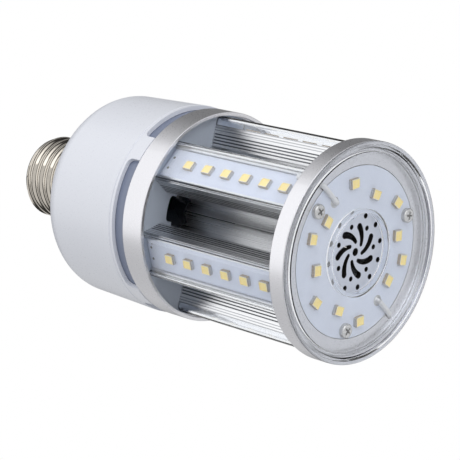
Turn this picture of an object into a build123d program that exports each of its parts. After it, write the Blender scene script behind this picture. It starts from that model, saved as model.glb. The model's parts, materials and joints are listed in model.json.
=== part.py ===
from build123d import *

import os
from math import acos, cos, degrees, hypot, radians, sin, tan

# Corn LED bulb, in millimetres. The lamp stands on its front rim: Z is the lamp's axis and points at
# the screw base, and the origin is the middle of the front rim.
# Strip 1 faces +X, and the other strips follow counter-clockwise every 60 degrees.

os.makedirs("parts", exist_ok=True)

# Lamp body
body_radius = 31.5  # outside of both silver rings
ring_wall = 1.0
ring_edge = 0.2  # rounding of the rings' outer edges
fit_gap = 0.05  # between pieces that slide into each other

# Front stack, measured from the rim
rim_lip = 0.3  # the cover's rim stands this far in front of the silver ring
window_depth = 0.2
window_thickness = 0.8
board_depth = 2.6  # rim to the front face of the light board
front_board_thickness = 1.6
cap_floor = 0.8  # of the front cap, behind the light board
ring_skirt = 0.4  # the front ring reaches this far over the strips
annulus_width = 5.9  # flat silver face between the ring and the light board
front_board_gap = 0.2  # round the board in its pocket
collar_radius = 11.35  # the opening in the clear cover
collar_wall = 1.15
collar_round = 0.3
skirt_wall = 2.15  # outer wall of the cover
rim_width = 1.75
rim_round = 0.27
groove_depth = 0.6  # between the rim and the window
groove_width = 1.2
groove_slope = 0.3

# Grille in the light board
slot_count = 7
slot_phase = 4.6
slot_radii = (7.2, 5.3, 2.9)  # outer end, middle and inner end of a slot's centre line
slot_turns = (0.0, 16.0, 41.0)
slot_halves = (1.0, 0.85, 0.6)  # half widths at the same three points
centre_hole_radius = 1.15
inner_dot_distance = 7.6  # from the board's middle
inner_dot_phase = 30.3
inner_dot_radius = 0.75
outer_dot_count = 12
outer_dot_inset = 0.9  # from the collar
outer_dot_phase = 6.3
outer_dot_radius = 0.8

# LED packages
led_length = 3.5
led_width = 2.8
led_height = 1.1
led_border = 0.35  # white rim round the phosphor
led_recess = 0.12
outer_led_inset = 4.4  # from the board's edge
outer_led_angles = (37.9, 98.5, 150.3, 220.4, 280.7, 334.9)
outer_led_turns = (40.0, 85.0, 146.0, 220.0, 265.0, 326.0)
inner_led_inset = 7.5
inner_led_angles = (68.0, 127.5, 172.6, 250.4, 307.5, 354.5)
inner_led_turns = (67.0, 135.0, 168.0, 247.0, 315.0, 348.0)

# Light strips
strip_count = 6
strip_length = 54.0
strip_width = 13.2
cover_clearance = 0.9  # from the strips' clear covers to the inside of the rings
sink_depth = 6.4  # of an extrusion, from its inner edge to its rails
web_thickness = 1.7
rail_height = 1.7  # of the rails over the seat
wall_thickness = 1.3  # side wall with its ribs
groove_count = 4  # in each side wall, between its ribs
groove_spacing = 0.9
groove_cut = 0.55
groove_gap = 0.4
groove_start = 0.9  # from the wall's inner edge to the middle of the first groove
duct_reach = 10.0  # from the side walls' inner edges to the outer face of the air duct
duct_wall = 0.8
duct_gap = 0.1  # of each extrusion's flange from the plane where its neighbour's begins
stem_offset = 2.3  # from the middle of the strip to the outer face of a stem
stem_wall = 0.8
port_reach = 1.45  # from the web to the middle of the screw ports
port_offset = 1.9
port_outer = 1.55
port_inner = 0.8
port_mouth = 0.7
strip_board_width = 9.6
strip_board_thickness = 1.0
strip_board_gap = 0.1
strip_board_front = 3.0  # from the strip's front end to its board
strip_board_rear = 0.3
strip_led_spacing = 7.48
leds_per_strip = 6
first_led = 7.0  # from the strip's front end
cover_height = 2.8
cover_wall = 0.9
cover_round = 1.8
lip_offset = 5.85
lip_width = 0.6
lip_depth = 0.85

# Rear plate, ring and collar
rear_overlap = 3.0  # the rear ring reaches this far in front of the plate
rear_ring_length = 8.0
ring_shoulder = 0.3
shoulder_length = 1.0
plate_thickness = 2.0
opening_margin = 3.4  # from the extrusions to the plate's opening
lobe_reach = 2.1
lobe_root = 1.0  # a lobe starts this far inside the opening
lobe_angle = 16.0
sleeve_step = 0.15  # the sleeve is this much slimmer than the plate
sleeve_wall = 1.35
sleeve_length = 11.0
collar_length = 5.6
collar_out = 0.15  # the collar stands proud of the silver ring
window_count = 4
window_angle = 75.0
window_middle = 45.0
window_length = 4.4
window_corner = 1.8
seam_edge = 0.2  # chamfers on both sides of the seam

# Driver housing
seam_out = 0.1  # the housing stands proud of the vent collar
taper_depth = 0.75
taper_length = 25.0
dome_length = 12.5
dome_depth = 24.0
neck_radius = 14.0
neck_height = 18.5  # from the end of the taper to the screw shell
housing_wall = 2.0
spigot_wall = 1.6
spigot_length = 9.0
entry_length = 2.6
ledge_depth = 5.4  # from the seam to the ledge that the driver board rests on
ledge_width = 0.7

# Screw base, a standard E26 shell
thread_pitch = 3.629
thread_count = 5
crest_radius = 13.1
root_radius = 12.2
crest_flat = 0.5
flank = 0.75
shell_wall = 0.8
shell_skirt = 3.6  # from the neck to the first crest
shell_end = 1.5  # from the last crest to the shell's end
shell_edge = 0.4  # chamfer at the end
insulator_height = 3.0
insulator_plug = 3.0  # inside the shell
insulator_brim = 0.4  # rises this far before the cone, and steps in by brim_step
brim_step = 0.6
contact_radius = 4.4
contact_height = 1.8
contact_round = 1.25
tip_radius = 5.4

# Fan, a standard size of 35 by 35 by 7 mm, on the back of the rear plate
fan_size = 35.0
fan_height = 7.0
fan_corner = 3.0
fan_bore = 16.5
fan_flange = 1.2
fan_barrel = 17.2
fan_hole_distance = 29.0
fan_seat_radius = 2.6  # seats on the plate, higher than the heads of the strip screws
fan_seat_height = 1.6
spider_height = 1.0
strut_width = 1.8
bearing_tube = 2.4
bearing_radius = 1.6
bearing_length = 4.4
shaft_radius = 0.75
shaft_gap = 0.03
hub_radius = 8.0
hub_wall = 0.8
hub_height = 5.0
hub_clearance = 0.4
boss_radius = 1.5
boss_height = 2.0
blade_count = 7
blade_tip = 16.1
blade_thickness = 0.8
root_chord = 6.6
root_angle = 40.0
tip_chord = 10.5
tip_angle = 24.0
stator_radius = 6.7
stator_height = 2.4

# Screws
thread_gap = 0.02
screw_hole_gap = 0.3
head_radius = 2.1
head_height = 1.4
head_round = 0.55
board_screw_length = 9.0
strip_screw_length = 9.0
fan_screw_head = 1.6
fan_screw_length = 10.0

# Leads
lead_radius = 0.75
lead_side = 4.1  # from the middle of the strip
lead_pad_inset = 6.4  # from the board's edge to the end of a lead
lead_set_back = 0.95  # where the lead passes the cap, behind its place on the strip's board
lead_bend = 1.6
lead_ease = 2.4
lead_straight = 0.6  # behind the front cap, before the lead leans towards the strip's board
lead_lean = 1.8
lead_run = 2.4  # along the board
notch_gap = 0.1
notch_run = 2.0  # the notch in the front cap leaves room for the lead's bend

# Driver
driver_thickness = 1.6
driver_gap = 0.2
driver_screw_inset = 2.9  # from the board's edge
driver_screw_length = 7.0
driver_boss_radius = 2.7
driver_boss_height = 8.0
capacitor_radius = 5.0
capacitor_height = 17.0
capacitor_round = 0.8
capacitor_places = ((10.0, 9.0), (10.0, -9.0))
choke_radius = 5.5
choke_bore = 1.9
choke_height = 8.0
choke_offset = -6.0
choke_inset = 13.5  # from the board's edge
transformer_size = (19.0, 16.0, 15.0)
transformer_edge = 1.0
transformer_place = (-8.0, 0.0)

# Heights along the axis, from the front rim
board_back = board_depth + front_board_thickness
strip_start = board_back + cap_floor
front_ring_end = strip_start + ring_skirt
strip_end = strip_start + strip_length
plate_back = strip_end + plate_thickness
fan_front = plate_back + fan_seat_height
fan_back = fan_front + fan_height
rear_ring_start = strip_end - rear_overlap
rear_ring_end = rear_ring_start + rear_ring_length
seam = rear_ring_end + collar_length
ledge = seam + ledge_depth
dome_start = seam + taper_length
shell_start = dome_start + neck_height
first_crest = shell_start + shell_skirt
last_crest = first_crest + (thread_count - 1) * thread_pitch
shell_top = last_crest + shell_end

# Radii and offsets that follow from the sizes above
ring_inner = body_radius - ring_wall
pocket_radius = ring_inner - annulus_width
front_board_radius = pocket_radius - front_board_gap
outer_led_distance = front_board_radius - outer_led_inset
inner_led_distance = front_board_radius - inner_led_inset
outer_dot_distance = collar_radius - outer_dot_inset
air_bore_radius = collar_radius + collar_wall
skirt_outer = ring_inner - fit_gap
skirt_radius = skirt_outer - skirt_wall
rim_outer = body_radius - fit_gap
rim_inner = rim_outer - rim_width
groove_inner = rim_inner - groove_width
plate_radius = ring_inner - fit_gap
sleeve_radius = plate_radius - sleeve_step
entry_radius = sleeve_radius + fit_gap
spigot_radius = root_radius - shell_wall - fit_gap
spigot_bore = spigot_radius - spigot_wall
rail_top = ring_inner - cover_clearance - cover_height
seat_distance = rail_top - rail_height
led_face = seat_distance + strip_board_thickness
web_inner = seat_distance - web_thickness
sink_inner = rail_top - sink_depth
port_distance = web_inner - port_reach
duct_distance = sink_inner - duct_reach
stem_end = port_distance - (port_outer + port_inner) / 2
port_ring = hypot(port_distance, port_offset)
port_turn = degrees(acos(port_distance / port_ring))
plate_opening = sink_inner - opening_margin
flange_half = (duct_distance - duct_wall) * tan(radians(180 / strip_count)) - duct_gap
lead_landing = led_face + lead_radius + fit_gap
lead_drop = lead_landing - lead_set_back
lead_pad = front_board_radius - lead_pad_inset
seam_radius = body_radius + collar_out + seam_out
taper_radius = seam_radius - taper_depth
dome_middle = taper_radius - dome_depth
ledge_radius = taper_radius - housing_wall + ledge_width
driver_radius = ledge_radius - driver_gap
driver_screw_distance = driver_radius - driver_screw_inset
strip_turn = 360 / strip_count
screw_radius = port_inner - thread_gap
screw_hole = screw_radius + screw_hole_gap


def keep(piece, label):
    piece.part.label = label
    export_step(piece.part, f"parts/{label}.step")


def fan_plane(height):
    """Plane across the fan, turned so that its corners stand between the heads of the strip screws."""
    turn = radians(port_turn)
    return Plane(origin=(0, 0, height), x_dir=(cos(turn), sin(turn), 0), z_dir=(0, 0, 1))


def strip_plane(index, height):
    """Plane across a strip: its x runs outwards from the lamp's axis, its y along the strip's width."""
    turn = radians(index * strip_turn)
    return Plane(origin=(0, 0, height), x_dir=(cos(turn), sin(turn), 0), z_dir=(0, 0, 1))


def strip_face(index):
    """Plane on a strip's board: its x runs along the lamp's axis, its normal points outwards."""
    turn = radians(index * strip_turn)
    outwards = Vector(cos(turn), sin(turn), 0)
    return Plane(origin=outwards * led_face, x_dir=(0, 0, 1), z_dir=outwards)


# Front cap: silver ring, flat annulus and the floor that carries the light board, in one moulding
with BuildPart() as front_cap:
    with BuildSketch(Plane.XZ):
        with Locations((air_bore_radius, board_depth)):
            Rectangle(body_radius - air_bore_radius, strip_start - board_depth, align=(Align.MIN, Align.MIN))
        with Locations((ring_inner, rim_lip)):
            Rectangle(ring_wall, front_ring_end - rim_lip, align=(Align.MIN, Align.MIN))
        with Locations((air_bore_radius, board_depth)):
            Rectangle(
                pocket_radius - air_bore_radius,
                front_board_thickness,
                align=(Align.MIN, Align.MIN),
                mode=Mode.SUBTRACT,
            )
    revolve(axis=Axis.Z)
    with BuildSketch(Plane.XY.offset(board_back)):
        with PolarLocations(port_ring, 3, start_angle=-port_turn):
            Circle(screw_hole)
    extrude(amount=cap_floor, mode=Mode.SUBTRACT)
    with BuildSketch(Plane.XY.offset(board_depth)):
        for side in (1, -1):
            with Locations((side * (lead_drop - notch_run / 2), side * lead_side)):
                SlotCenterToCenter(notch_run, 2 * (lead_radius + notch_gap))
    extrude(amount=strip_start - board_depth, mode=Mode.SUBTRACT)
    cap_circles = front_cap.edges().filter_by(GeomType.CIRCLE)
    for circles in (cap_circles.group_by(Axis.Z)[0], cap_circles.group_by(Axis.Z)[-1]):
        fillet(circles.sort_by(SortBy.RADIUS)[-1:], ring_edge)
keep(front_cap, "front_cap")

# Clear front cover: stepped rim, flat window and the collar round the grille
with BuildPart() as front_cover:
    with BuildSketch(Plane.XZ) as cover_section:
        with Locations((collar_radius, window_depth)):
            Rectangle(skirt_outer - collar_radius, window_thickness, align=(Align.MIN, Align.MIN))
            Rectangle(collar_wall, board_depth - window_depth, align=(Align.MIN, Align.MIN))
        with Locations((skirt_radius, 0)):
            Rectangle(skirt_wall, board_depth, align=(Align.MIN, Align.MIN))
        with Locations((rim_inner, 0)):
            Rectangle(rim_width, rim_lip, align=(Align.MIN, Align.MIN))
        with BuildLine():
            Polyline(
                (skirt_radius, 0),
                (groove_inner, groove_depth),
                (rim_inner - groove_slope, groove_depth),
                (rim_inner, 0),
                close=True,
            )
        make_face(mode=Mode.SUBTRACT)
        fillet(cover_section.vertices().sort_by(Axis.X)[-2:].sort_by(Axis.Y)[:1], rim_round)
        fillet(cover_section.vertices().sort_by(Axis.X)[:2].sort_by(Axis.Y)[:1], collar_round)
    revolve(axis=Axis.Z)
keep(front_cover, "front_cover")

# One swirl slot of the grille: two side arcs along a curved centre line, closed by a round end at each side
slot_ends = [
    Vector(radius * cos(radians(turn)), radius * sin(radians(turn)), 0)
    for radius, turn in zip(slot_radii, slot_turns)
]
slot_middle_line = ThreePointArc(*slot_ends)
slot_sides = {
    side: [
        slot_middle_line @ place + side * half * (slot_middle_line % place).rotate(Axis.Z, 90)
        for place, half in zip((0, 0.5, 1), slot_halves)
    ]
    for side in (1, -1)
}
with BuildSketch() as swirl_slot:
    with BuildLine():
        ThreePointArc(*slot_sides[1])
        ThreePointArc(
            slot_sides[1][-1],
            slot_middle_line @ 1 + (slot_middle_line % 1) * slot_halves[-1],
            slot_sides[-1][-1],
        )
        ThreePointArc(*reversed(slot_sides[-1]))
        ThreePointArc(
            slot_sides[-1][0],
            slot_middle_line @ 0 - (slot_middle_line % 0) * slot_halves[0],
            slot_sides[1][0],
        )
    make_face()

# Round light board with its grille
with BuildPart() as front_board:
    with BuildSketch(Plane.XY.offset(board_depth)):
        Circle(front_board_radius)
        Circle(centre_hole_radius, mode=Mode.SUBTRACT)
        with PolarLocations(0, slot_count, start_angle=slot_phase):
            add(swirl_slot.sketch, mode=Mode.SUBTRACT)
        with PolarLocations(inner_dot_distance, slot_count, start_angle=inner_dot_phase):
            Circle(inner_dot_radius, mode=Mode.SUBTRACT)
        with PolarLocations(outer_dot_distance, outer_dot_count, start_angle=outer_dot_phase):
            Circle(outer_dot_radius, mode=Mode.SUBTRACT)
        with PolarLocations(port_ring, 3, start_angle=-port_turn):
            Circle(screw_hole, mode=Mode.SUBTRACT)
    extrude(amount=front_board_thickness)
keep(front_board, "front_board")

# Twelve LED packages on the light board, with the long side about across the radius
front_led_rings = (
    (outer_led_distance, outer_led_angles, outer_led_turns),
    (inner_led_distance, inner_led_angles, inner_led_turns),
)
front_led_places = [
    Location((distance * cos(radians(angle)), distance * sin(radians(angle)), 0), (0, 0, turn))
    for distance, angles, turns in front_led_rings
    for angle, turn in zip(angles, turns)
]
with BuildPart() as front_leds:
    with BuildSketch(Plane.XY.offset(board_depth - led_height)):
        with Locations(*front_led_places):
            Rectangle(led_width, led_length)
    extrude(amount=led_height)
    with BuildSketch(Plane.XY.offset(board_depth - led_height)):
        with Locations(*front_led_places):
            Rectangle(led_width - 2 * led_border, led_length - 2 * led_border)
    extrude(amount=led_recess, mode=Mode.SUBTRACT)
keep(front_leds, "front_leds")

# Three pan head screws through board and cap into the extrusions of strips 1, 3 and 5
with BuildPart() as board_screws:
    with BuildSketch(Plane.XY.offset(board_depth - head_height)):
        with PolarLocations(port_ring, 3, start_angle=-port_turn):
            Circle(head_radius)
    extrude(amount=head_height)
    fillet(board_screws.edges().group_by(Axis.Z)[0], head_round)
    with BuildSketch(Plane.XY.offset(board_depth)):
        with PolarLocations(port_ring, 3, start_angle=-port_turn):
            Circle(screw_radius)
    extrude(amount=board_screw_length)
keep(board_screws, "board_screws")


def heatsink(index):
    """Ribbed extrusion: seat and rails outside, then a channel with two screw ports, and two stems that
    carry a flange near the lamp's axis. The six flanges form a duct for the air."""
    with BuildPart() as piece:
        with BuildSketch(strip_plane(index, strip_start)):
            with Locations((sink_inner, 0)):
                Rectangle(rail_top - sink_inner, strip_width, align=(Align.MIN, Align.CENTER))
                Rectangle(
                    web_inner - sink_inner,
                    strip_width - 2 * wall_thickness,
                    align=(Align.MIN, Align.CENTER),
                    mode=Mode.SUBTRACT,
                )
            with Locations((seat_distance, 0)):
                Rectangle(
                    rail_height,
                    strip_board_width + 2 * strip_board_gap,
                    align=(Align.MIN, Align.CENTER),
                    mode=Mode.SUBTRACT,
                )
            for side in (1, -1):
                with Locations((rail_top, side * lip_offset)):
                    Rectangle(
                        lip_depth,
                        lip_width + 2 * fit_gap,
                        align=(Align.MAX, Align.CENTER),
                        mode=Mode.SUBTRACT,
                    )
                with Locations((port_distance, side * port_offset)):
                    Circle(port_outer)
                grooves = [
                    (sink_inner + groove_start + number * groove_spacing, side * strip_width / 2)
                    for number in range(groove_count)
                ]
                with Locations(*grooves):
                    Rectangle(groove_gap, 2 * groove_cut, mode=Mode.SUBTRACT)
                with Locations((duct_distance, side * (stem_offset - stem_wall / 2))):
                    Rectangle(stem_end - duct_distance, stem_wall, align=(Align.MIN, Align.CENTER))
            with Locations((duct_distance, 0)):
                Rectangle(duct_wall, 2 * flange_half, align=(Align.MAX, Align.CENTER))
            with Locations((port_distance, port_offset), (port_distance, -port_offset)):
                Circle(port_inner, mode=Mode.SUBTRACT)
            with Locations((port_distance, 0)):
                Rectangle(port_mouth, 2 * port_offset, mode=Mode.SUBTRACT)
        extrude(amount=strip_length)
    return piece


def strip_board(index):
    """Long light board in the seat of its extrusion."""
    with BuildPart() as piece:
        with BuildSketch(strip_plane(index, strip_start + strip_board_front)):
            with Locations((seat_distance, 0)):
                Rectangle(strip_board_thickness, strip_board_width, align=(Align.MIN, Align.CENTER))
        extrude(amount=strip_length - strip_board_front - strip_board_rear)
    return piece


def strip_leds(index):
    """LED packages in a row on the strip's board."""
    places = [
        (strip_start + first_led + number * strip_led_spacing, 0) for number in range(leds_per_strip)
    ]
    with BuildPart() as piece:
        with BuildSketch(strip_face(index)):
            with Locations(*places):
                Rectangle(led_length, led_width)
        extrude(amount=led_height)
        with BuildSketch(strip_face(index).offset(led_height)):
            with Locations(*places):
                Rectangle(led_length - 2 * led_border, led_width - 2 * led_border)
        extrude(amount=-led_recess, mode=Mode.SUBTRACT)
    return piece


def strip_cover(index):
    """Clear channel with rounded corners, whose two lips slide into the grooves of the rails."""
    with BuildPart() as piece:
        with BuildSketch(strip_plane(index, strip_start)) as section:
            with Locations((rail_top, 0)):
                Rectangle(cover_height, strip_width, align=(Align.MIN, Align.CENTER))
            fillet(section.vertices().group_by(Axis.X)[-1], cover_round)
            with Locations((rail_top, 0)):
                Rectangle(
                    cover_height - cover_wall,
                    strip_width - 2 * cover_wall,
                    align=(Align.MIN, Align.CENTER),
                    mode=Mode.SUBTRACT,
                )
            fillet(section.vertices().group_by(Axis.X)[-2], cover_round - cover_wall)
            for side in (1, -1):
                with Locations((rail_top, side * lip_offset)):
                    Rectangle(lip_depth - fit_gap, lip_width, align=(Align.MAX, Align.CENTER))
        extrude(amount=strip_length)
    return piece


for number in range(strip_count):
    keep(heatsink(number), f"heatsink_{number + 1}")
    keep(strip_board(number), f"strip_board_{number + 1}")
    keep(strip_leds(number), f"strip_leds_{number + 1}")
    keep(strip_cover(number), f"strip_cover_{number + 1}")


def board_lead(side):
    """Insulated lead: from its pad on the light board, out through the notch, down onto a strip's board."""
    top = board_depth - lead_radius
    route = [
        (side * lead_pad, side * lead_side, top),
        (side * lead_drop, side * lead_side, top),
        (side * lead_drop, side * lead_side, strip_start + lead_straight),
        (side * lead_landing, side * lead_side, strip_start + lead_straight + lead_lean),
        (side * lead_landing, side * lead_side, strip_start + lead_straight + lead_lean + lead_run),
    ]
    with BuildPart() as piece:
        with BuildLine() as path:
            FilletPolyline(*route, radius=[lead_bend, lead_ease, lead_ease])
        with BuildSketch(Plane(origin=path.line @ 0, z_dir=path.line % 0)):
            Circle(lead_radius)
        sweep()
    return piece


keep(board_lead(1), "supply_lead")
keep(board_lead(-1), "return_lead")

# Rear ring: silver band with a small shoulder in front of the plate
with BuildPart() as rear_ring:
    with BuildSketch(Plane.XZ):
        with Locations((ring_inner, rear_ring_start)):
            Rectangle(ring_wall, rear_ring_length, align=(Align.MIN, Align.MIN))
        with Locations((ring_inner, strip_end)):
            Rectangle(2 * ring_shoulder, shoulder_length, align=(Align.CENTER, Align.MAX))
    revolve(axis=Axis.Z)
    ring_circles = rear_ring.edges().filter_by(GeomType.CIRCLE)
    for circles in (ring_circles.group_by(Axis.Z)[0], ring_circles.group_by(Axis.Z)[-1]):
        fillet(circles.sort_by(SortBy.RADIUS)[-1:], ring_edge)
keep(rear_ring, "rear_ring")

# Rear plate: lobed opening in the middle, and a sleeve that reaches into the housing
with BuildPart() as rear_plate:
    with BuildSketch(Plane.XY.offset(strip_end)):
        Circle(plate_radius)
        Circle(plate_opening, mode=Mode.SUBTRACT)
        for number in range(strip_count):
            lobe_start = (number + 0.5) * strip_turn - lobe_angle / 2
            SlotArc(
                CenterArc((0, 0), plate_opening + (lobe_reach - lobe_root) / 2, lobe_start, lobe_angle),
                lobe_reach + lobe_root,
                mode=Mode.SUBTRACT,
            )
        with PolarLocations(port_ring, strip_count, start_angle=port_turn):
            Circle(screw_hole, mode=Mode.SUBTRACT)
    extrude(amount=plate_thickness)
    with BuildSketch(Plane.XY.offset(plate_back)):
        Circle(sleeve_radius)
        Circle(sleeve_radius - sleeve_wall, mode=Mode.SUBTRACT)
    extrude(amount=sleeve_length)
    with BuildSketch(fan_plane(plate_back)):
        with GridLocations(fan_hole_distance, fan_hole_distance, 2, 2):
            Circle(fan_seat_radius)
    extrude(amount=fan_seat_height)
    with BuildSketch(fan_plane(fan_front)):
        with GridLocations(fan_hole_distance, fan_hole_distance, 2, 2):
            Circle(port_inner)
    extrude(amount=fan_height - fan_screw_length - thread_gap, mode=Mode.SUBTRACT)
keep(rear_plate, "rear_plate")

# Six screws that hold the strips to the rear plate
with BuildPart() as strip_screws:
    with BuildSketch(Plane.XY.offset(plate_back)):
        with PolarLocations(port_ring, strip_count, start_angle=port_turn):
            Circle(head_radius)
    extrude(amount=head_height)
    fillet(strip_screws.edges().group_by(Axis.Z)[-1], head_round)
    with BuildSketch(Plane.XY.offset(plate_back)):
        with PolarLocations(port_ring, strip_count, start_angle=port_turn):
            Circle(screw_radius)
    extrude(amount=-strip_screw_length)
keep(strip_screws, "strip_screws")

# Vent collar: four long windows, open towards the silver ring, with rounded far corners
with BuildPart() as vent_collar:
    with BuildSketch(Plane.XY.offset(rear_ring_end)):
        Circle(body_radius + collar_out)
        Circle(sleeve_radius + 2 * fit_gap, mode=Mode.SUBTRACT)
    extrude(amount=collar_length)
    for number in range(window_count):
        middle = window_middle + number * 360 / window_count
        with BuildSketch(Plane.XZ.rotated((0, 0, middle - window_angle / 2))):
            with Locations((sleeve_radius, rear_ring_end)):
                Rectangle(2 * ring_wall + sleeve_wall, window_length, align=(Align.MIN, Align.MIN))
        revolve(axis=Axis.Z, revolution_arc=window_angle, mode=Mode.SUBTRACT)
    far_corners = vent_collar.edges().filter_by(GeomType.LINE).filter_by_position(
        Axis.Z, rear_ring_end + window_length - fit_gap, rear_ring_end + window_length + fit_gap
    )
    fillet(far_corners, window_corner)
    rear_circles = vent_collar.edges().filter_by(GeomType.CIRCLE).group_by(Axis.Z)[-1]
    chamfer(rear_circles.sort_by(SortBy.RADIUS)[-1:], seam_edge)
keep(vent_collar, "vent_collar")

# Driver housing: slight taper, rounded end, neck and the spigot that carries the screw shell
with BuildPart() as driver_housing:
    with BuildSketch(Plane.XZ):
        with BuildLine():
            neck_turn = degrees(acos((neck_radius - dome_middle) / dome_depth))
            inner_turn = degrees(acos((spigot_bore - dome_middle) / (dome_depth - housing_wall)))
            dome = EllipticalCenterArc(
                (dome_middle, dome_start),
                dome_depth,
                dome_length,
                start_angle=0,
                arc_size=neck_turn,
            )
            inner_dome = EllipticalCenterArc(
                (dome_middle, dome_start),
                dome_depth - housing_wall,
                dome_length - housing_wall,
                start_angle=0,
                arc_size=inner_turn,
            )
            Polyline(
                dome @ 1,
                (neck_radius, shell_start),
                (spigot_radius, shell_start),
                (spigot_radius, shell_start + spigot_length),
                (spigot_bore, shell_start + spigot_length),
                inner_dome @ 1,
            )
            Polyline(
                inner_dome @ 0,
                (taper_radius - housing_wall, ledge),
                (ledge_radius, ledge),
                (ledge_radius, seam + entry_length),
                (entry_radius, seam + entry_length),
                (entry_radius, seam),
                (seam_radius - seam_edge, seam),
                (seam_radius, seam + seam_edge),
                dome @ 0,
            )
        make_face()
    revolve(axis=Axis.Z)
    with BuildSketch(Plane.XY.offset(ledge)):
        with PolarLocations(driver_screw_distance, 3):
            Circle(driver_boss_radius)
    extrude(amount=driver_boss_height)
    with BuildSketch(Plane.XY.offset(ledge)):
        with PolarLocations(driver_screw_distance, 3):
            Circle(port_inner)
    extrude(amount=driver_boss_height - housing_wall, mode=Mode.SUBTRACT)
keep(driver_housing, "driver_housing")

# Screw shell with a rounded ridge for each turn of the thread
with BuildPart() as screw_shell:
    with BuildSketch(Plane.XZ):
        with Locations((spigot_radius + fit_gap, shell_start)):
            Rectangle(
                root_radius - spigot_radius - fit_gap,
                shell_top - shell_start,
                align=(Align.MIN, Align.MIN),
            )
            Rectangle(
                crest_radius - spigot_radius - fit_gap,
                shell_skirt - crest_flat - flank,
                align=(Align.MIN, Align.MIN),
            )
        with Locations(*[(root_radius, first_crest + turn * thread_pitch) for turn in range(thread_count)]):
            Polygon(
                (0, -crest_flat / 2 - flank),
                (crest_radius - root_radius, -crest_flat / 2),
                (crest_radius - root_radius, crest_flat / 2),
                (0, crest_flat / 2 + flank),
                align=None,
            )
    revolve(axis=Axis.Z)
    top_circles = screw_shell.edges().filter_by(GeomType.CIRCLE).group_by(Axis.Z)[-1]
    chamfer(top_circles.sort_by(SortBy.RADIUS)[-1:], shell_edge)
keep(screw_shell, "screw_shell")

# Insulator: plug inside the shell and a cone in front of it
with BuildPart() as base_insulator:
    with BuildSketch(Plane.XZ):
        with BuildLine():
            Polyline(
                (0, shell_top - insulator_plug),
                (spigot_radius, shell_top - insulator_plug),
                (spigot_radius, shell_top),
                (spigot_radius - brim_step, shell_top + insulator_brim),
                (tip_radius, shell_top + insulator_height),
                (0, shell_top + insulator_height),
                close=True,
            )
        make_face()
    revolve(axis=Axis.Z)
keep(base_insulator, "base_insulator")

# Centre contact, a low button
with BuildPart() as centre_contact:
    with BuildSketch(Plane.XY.offset(shell_top + insulator_height)):
        Circle(contact_radius)
    extrude(amount=contact_height)
    fillet(centre_contact.edges().group_by(Axis.Z)[-1], contact_round)
keep(centre_contact, "centre_contact")

# Fan frame: two square flanges on a round barrel, with four arms and the bearing tube at the back
with BuildPart() as fan_frame:
    with BuildSketch(fan_plane(fan_front)):
        RectangleRounded(fan_size, fan_size, fan_corner)
        Circle(fan_bore, mode=Mode.SUBTRACT)
        with GridLocations(fan_hole_distance, fan_hole_distance, 2, 2):
            Circle(screw_hole, mode=Mode.SUBTRACT)
    extrude(amount=fan_height)
    with BuildSketch(fan_plane(fan_front + fan_flange)):
        Rectangle(fan_size, fan_size)
        Circle(fan_barrel, mode=Mode.SUBTRACT)
    extrude(amount=fan_height - 2 * fan_flange, mode=Mode.SUBTRACT)
    with BuildSketch(fan_plane(fan_back)):
        Circle(hub_radius)
        Rectangle(2 * fan_bore + hub_wall, strut_width)
        Rectangle(strut_width, 2 * fan_bore + hub_wall)
        Circle(bearing_radius, mode=Mode.SUBTRACT)
    extrude(amount=-spider_height)
    with BuildSketch(fan_plane(fan_back)):
        Circle(bearing_tube)
        Circle(bearing_radius, mode=Mode.SUBTRACT)
    extrude(amount=-bearing_length)
keep(fan_frame, "fan_frame")

# One fan blade: a thin rounded section that flattens out from the hub to the tip
hub_front = fan_front + hub_clearance
blade_middle = hub_front + hub_height / 2
with BuildPart() as fan_blade:
    for reach, chord, slant in (
        (hub_radius - hub_wall / 2, root_chord, root_angle),
        (blade_tip, tip_chord, tip_angle),
    ):
        with BuildSketch(Plane(origin=(reach, 0, blade_middle), x_dir=(0, 1, 0), z_dir=(1, 0, 0))):
            SlotOverall(chord, blade_thickness, rotation=slant)
    loft()
    with Locations((0, 0, blade_middle)):
        Cylinder(blade_tip, 2 * hub_height, mode=Mode.INTERSECT)

# Fan rotor: cup-shaped hub with seven blades
with BuildPart() as fan_rotor:
    with BuildSketch(Plane.XY.offset(hub_front)):
        Circle(hub_radius)
    extrude(amount=hub_height)
    with PolarLocations(0, blade_count):
        add(fan_blade.part)
    with BuildSketch(Plane.XY.offset(hub_front + hub_wall)):
        Circle(hub_radius - hub_wall)
        Circle(boss_radius, mode=Mode.SUBTRACT)
    extrude(amount=boss_height - hub_wall, mode=Mode.SUBTRACT)
    with BuildSketch(Plane.XY.offset(hub_front + boss_height)):
        Circle(hub_radius - hub_wall)
    extrude(amount=hub_height, mode=Mode.SUBTRACT)
    with BuildSketch(Plane.XY.offset(hub_front + hub_wall)):
        Circle(shaft_radius)
    extrude(amount=boss_height, mode=Mode.SUBTRACT)
keep(fan_rotor, "fan_rotor")

# Shaft, pressed into the rotor and running in the bearing
with BuildPart() as fan_shaft:
    with BuildSketch(Plane.XY.offset(hub_front + hub_wall)):
        Circle(shaft_radius)
    extrude(amount=fan_back - hub_front - hub_wall)
keep(fan_shaft, "fan_shaft")

with BuildPart() as fan_bearing:
    with BuildSketch(Plane.XY.offset(fan_back)):
        Circle(bearing_radius)
        Circle(shaft_radius + shaft_gap, mode=Mode.SUBTRACT)
    extrude(amount=-bearing_length)
keep(fan_bearing, "fan_bearing")

# Stator: four poles round the bearing tube
with BuildPart() as fan_stator:
    with BuildSketch(fan_plane(fan_back - spider_height)):
        Circle(bearing_tube + hub_wall)
        Rectangle(2 * stator_radius - hub_wall, strut_width)
        Rectangle(strut_width, 2 * stator_radius - hub_wall)
        with PolarLocations(stator_radius - hub_wall, 4):
            Rectangle(hub_wall, 2 * strut_width)
        Circle(bearing_tube, mode=Mode.SUBTRACT)
    extrude(amount=-stator_height)
keep(fan_stator, "fan_stator")

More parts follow.
